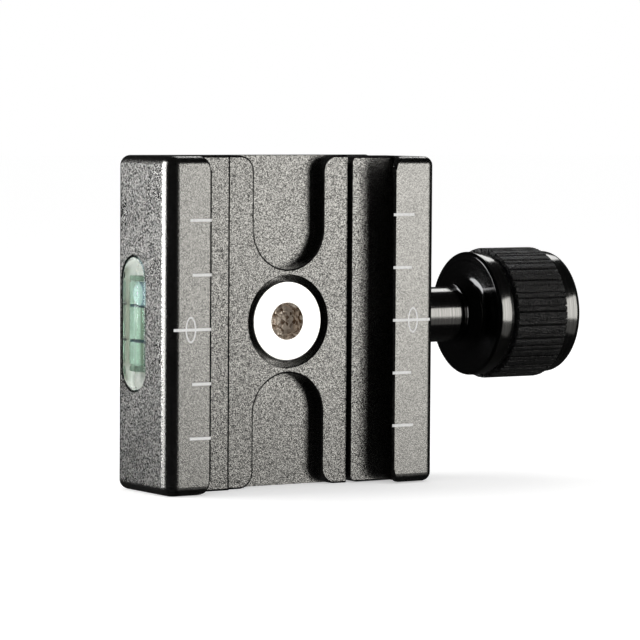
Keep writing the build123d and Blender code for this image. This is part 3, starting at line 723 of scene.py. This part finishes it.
# %% Clamp screw
HEAD_END = HEAD_SEAT + 5
clamp_shank = [(8.2, 0), (8.2, 1.75), (8.6, 2.08), (30.0, 2.08), (30.4, 2.45), (HEAD_SEAT, 2.45)]
clamp_head = [(HEAD_SEAT, 4.25), (HEAD_END - 0.3, 4.25), (HEAD_END, 3.95), (HEAD_END, 2.4)]
clamp_socket = [(HEAD_END - 0.1, 2.0), (HEAD_END - 2.5, 2.0), (HEAD_END - 2.5, 0)]
clamp_bm = bmesh.new()
spin_profile(clamp_bm, clamp_shank + clamp_head + clamp_socket, KNOB_CENTRE, ALONG_X, 96, closed=False)
press_hexagon([v for v in clamp_bm.verts if v.co.x > HEAD_SEAT + 1], KNOB_CENTRE, 1, 2, 4.0)
soften(clamp_bm, 0.06, 0.6)
thread(clamp_bm, KNOB_CENTRE, ALONG_X, start=8.7, length=21.2, pitch=0.8, root=2.08, crest=2.44, steps=32)
to_piece(clamp_bm, "socket_head_screw", dark_steel, "knob", ["clamp_screw"])

# %% [markdown]
# ## The return springs
# A round wire is swept in three stages: a closed end coil, the open turns, and another closed end.
# Each spring is drawn stretched between the base and the jaw.


# %% Springs
def spring(name, height, replaced):
    """A coil along X between the base and the jaw's foot. Wire and coil are given as radii."""
    wire, coil = 0.2, 1.7
    centre = Vector((0, KNOB_CENTRE.y, height))
    bm = bmesh.new()
    ring = bmesh.ops.create_circle(bm, cap_ends=True, segments=10, radius=wire)["verts"]
    bmesh.ops.rotate(bm, verts=ring, cent=(0, 0, 0), matrix=Matrix.Rotation(math.pi / 2, 3, "X"))
    bmesh.ops.translate(bm, verts=ring, vec=centre + Vector((9.4 + wire, 0, coil)))
    section = bm.faces[:]
    closed_pitch, open_turns = 0.42, 7.0
    open_length = 10.0 - 2 * wire - 2 * closed_pitch
    for turns, length in ((1.0, closed_pitch), (open_turns, open_length), (1.0, closed_pitch)):
        steps = int(turns * 28)
        made = bmesh.ops.spin(bm, geom=section, cent=centre, axis=ALONG_X, dvec=ALONG_X * length / steps,
                              angle=2 * math.pi * turns, steps=steps)
        section = [g for g in made["geom_last"] if isinstance(g, bmesh.types.BMFace)]
    obj = to_piece(bm, name, spring_steel, None, [replaced], 60)
    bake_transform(obj)


spring("coil_spring_upper", 9.6, "return_spring_upper")
spring("coil_spring_lower", -9.6, "return_spring_lower")

# %% [markdown]
# ## The level's block
# A clear cast block with half round ends is let into the side. Only its rim is rounded, so its front
# is flat. A white film behind it glows a little, a painted light that brightens the level.


# %% Level block and film
LEVEL_Y = -4.9


def stadium(bm, width, length, x_front, x_back):
    """A block with half round ends, its flat sides facing along X. Returns the front edges."""
    verts = bmesh.ops.create_circle(bm, cap_ends=True, segments=48, radius=width / 2)["verts"]
    bmesh.ops.rotate(bm, verts=verts, cent=(0, 0, 0), matrix=Matrix.Rotation(math.pi / 48, 3, "Z"))
    for v in verts:
        v.co.y += math.copysign((length - width) / 2, v.co.y)
    stand = Matrix(((0, 0, 1), (1, 0, 0), (0, 1, 0)))
    bmesh.ops.rotate(bm, verts=verts, cent=(0, 0, 0), matrix=stand)
    bmesh.ops.translate(bm, verts=verts, vec=(x_front, LEVEL_Y, 0))
    front_edges = bm.edges[:]
    made = bmesh.ops.extrude_face_region(bm, geom=bm.faces[:], use_keep_orig=True)
    back_verts = [g for g in made["geom"] if isinstance(g, bmesh.types.BMVert)]
    bmesh.ops.translate(bm, verts=back_verts, vec=(x_back - x_front, 0, 0))
    return front_edges


BLOCK_FRONT = -23.9
block_bm = bmesh.new()
rim = stadium(block_bm, 6.9, 20.0, BLOCK_FRONT, -18.0)
round_edges(block_bm, rim, 0.35, 4)
front = [f for f in block_bm.faces if f.calc_center_median().x < BLOCK_FRONT + 0.001]
bmesh.ops.inset_region(block_bm, faces=front, thickness=0.06, use_even_offset=True)
to_piece(block_bm, "level_block", level_block_plastic, "base", ["vial_body"])

film_bm = bmesh.new()
stadium(film_bm, 7.04, 20.14, -17.97, -17.91)
to_piece(film_bm, "level_backing_painted_light", level_backing_painted_light, "base")

# %% [markdown]
# ## The level's tube
# The block holds a tube of green liquid with a bubble near its upper end. Light bends at each
# surface, which draws the bright and dark lines along the tube.

# %% Tube and bubble
TUBE_X, TUBE_RADIUS = -21.28, 2.55
half_profile = [(5.6, TUBE_RADIUS), (5.8, TUBE_RADIUS), (6.1, 2.45), (6.28, 2.1), (6.28, 0)]
liquid_profile = [(-z, r) for z, r in reversed(half_profile)] + half_profile
liquid_bm = bmesh.new()
tube_verts = [liquid_bm.verts.new((TUBE_X + r, LEVEL_Y, z)) for z, r in liquid_profile]
tube_edges = [liquid_bm.edges.new(pair) for pair in zip(tube_verts, tube_verts[1:])]
bmesh.ops.spin(liquid_bm, geom=tube_verts + tube_edges, cent=(TUBE_X, LEVEL_Y, 0), axis=(0, 0, 1),
               dvec=(0, 0, 0), angle=2 * math.pi, steps=64, use_merge=True)
to_piece(liquid_bm, "level_liquid", level_liquid_green, "base", ["vial_liquid"])

BUBBLE_RADIUS, BUBBLE_Z = 1.68, 4.35
bubble_bm = bmesh.new()
bubble = bmesh.ops.create_uvsphere(bubble_bm, u_segments=40, v_segments=24, radius=BUBBLE_RADIUS)["verts"]
bmesh.ops.scale(bubble_bm, verts=bubble, vec=(0.96, 1.0, 1.03))
bmesh.ops.translate(bubble_bm, verts=bubble, vec=(TUBE_X, LEVEL_Y, BUBBLE_Z))
to_piece(bubble_bm, "level_bubble", level_air_painted_glow, "base", ["vial_bubble"])

# %% [markdown]
# ## The ends of the marks
# The engraving is filled with white paint, which runs over the broken edge of each lip and, at the
# centre line, round the outer corner. These ends are thin films of paint: short flat strips on
# the lips, and a strip spun about 25 degrees round the corner.


# %% Mark ends
JAW_TOP, MARK_WIDTH = -15.2, 0.42
TICKS = (16.06, 8.03, 0.0, -8.03, -16.06)


def lip_strip(bm, lip, towards, height):
    """Paint on the broken edge of a lip, at a tick."""
    run, fall = 0.36, 0.15
    strip = bmesh.ops.create_cube(bm, size=1.0)["verts"]
    bmesh.ops.scale(bm, vec=(math.hypot(run, fall), 0.03, MARK_WIDTH), verts=strip)
    turn = Matrix.Rotation(-towards * math.atan2(fall, run), 3, "Z")
    bmesh.ops.rotate(bm, verts=strip, cent=(0, 0, 0), matrix=turn)
    bmesh.ops.translate(bm, verts=strip, vec=(lip + towards * run / 2, JAW_TOP + fall / 2, height))


def corner_strip(bm, flat_end, rounding, towards, degrees, height):
    """Paint that follows the rounded outer corner of a jaw, from where its flat top ends."""
    centre = Vector((flat_end, rounding + JAW_TOP, height))
    inner, outer, half = rounding - 0.02, rounding + 0.008, MARK_WIDTH / 2
    section = [bm.verts.new(centre + Vector((0, -r, z))) for r, z in
               ((inner, -half), (inner, half), (outer, half), (outer, -half))]
    bmesh.ops.spin(bm, geom=[bm.faces.new(section)], cent=centre, axis=(0, 0, 1), dvec=(0, 0, 0),
                   angle=towards * math.radians(degrees), steps=6)


def mark_ends(name, body, lip, towards, drop, flat_end, rounding, degrees):
    """The painted ends of one jaw's marks, which sit lower than the middle by drop."""
    ends_bm = bmesh.new()
    for tick in TICKS:
        lip_strip(ends_bm, lip, towards, tick - drop)
    corner_strip(ends_bm, flat_end, rounding, towards, degrees, -drop)
    to_piece(ends_bm, name, white_paint, body)


mark_ends("fixed_mark_ends", "base", lip=-16.49, towards=-1, drop=0.45,
          flat_end=-22.0, rounding=1.95, degrees=25.9)
mark_ends("movable_mark_ends", "jaw", lip=15.55, towards=1, drop=0.0,
          flat_end=21.65, rounding=1.45, degrees=25.0)

# %% [markdown]
# ## Painted shade at the ends of the level's tube
# At each end of the tube stands a thin disc of darker green, a little narrower than the liquid.
# Through the clear block they show as two darker green bands: painted shade at the tube's ends.

# %% Level end caps of painted shade
CAP_RADIUS, CAP_DEPTH, CAP_Z = 2.5, 0.7, 6.75
caps_bm = bmesh.new()
for end in (CAP_Z, -CAP_Z):
    cap = bmesh.ops.create_cone(caps_bm, cap_ends=True, segments=48, radius1=CAP_RADIUS,
                                radius2=CAP_RADIUS, depth=CAP_DEPTH)["verts"]
    bmesh.ops.translate(caps_bm, verts=cap, vec=(TUBE_X, LEVEL_Y, end))
soften(caps_bm, 0.12)
to_piece(caps_bm, "level_end_caps_painted_shade", level_cap_painted_shade, "base")

# %% [markdown]
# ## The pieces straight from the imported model
# The machined block, the jaw, the engraving and the small turned pieces have the right shape
# already. They get their finish through the object's own material slot.

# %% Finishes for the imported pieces
packed_finishes = {
    "base_body": body_metal, "movable_jaw": body_metal,
    "fixed_jaw_marks": white_paint, "movable_jaw_marks": white_paint,
    "spacer_sleeve": knob_satin, "thrust_washer": bright_steel, "screw_retainer": dark_steel,
    "guide_pin_upper": bright_steel, "guide_pin_lower": bright_steel, "knob_set_screw": dark_steel,
    "vial_rings": level_ink, "vial_plug": level_plug_plastic,
}
for node, material in packed_finishes.items():
    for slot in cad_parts[node].material_slots:
        slot.link = "OBJECT"
        slot.material = material
print("packed pieces finished:", len(packed_finishes))
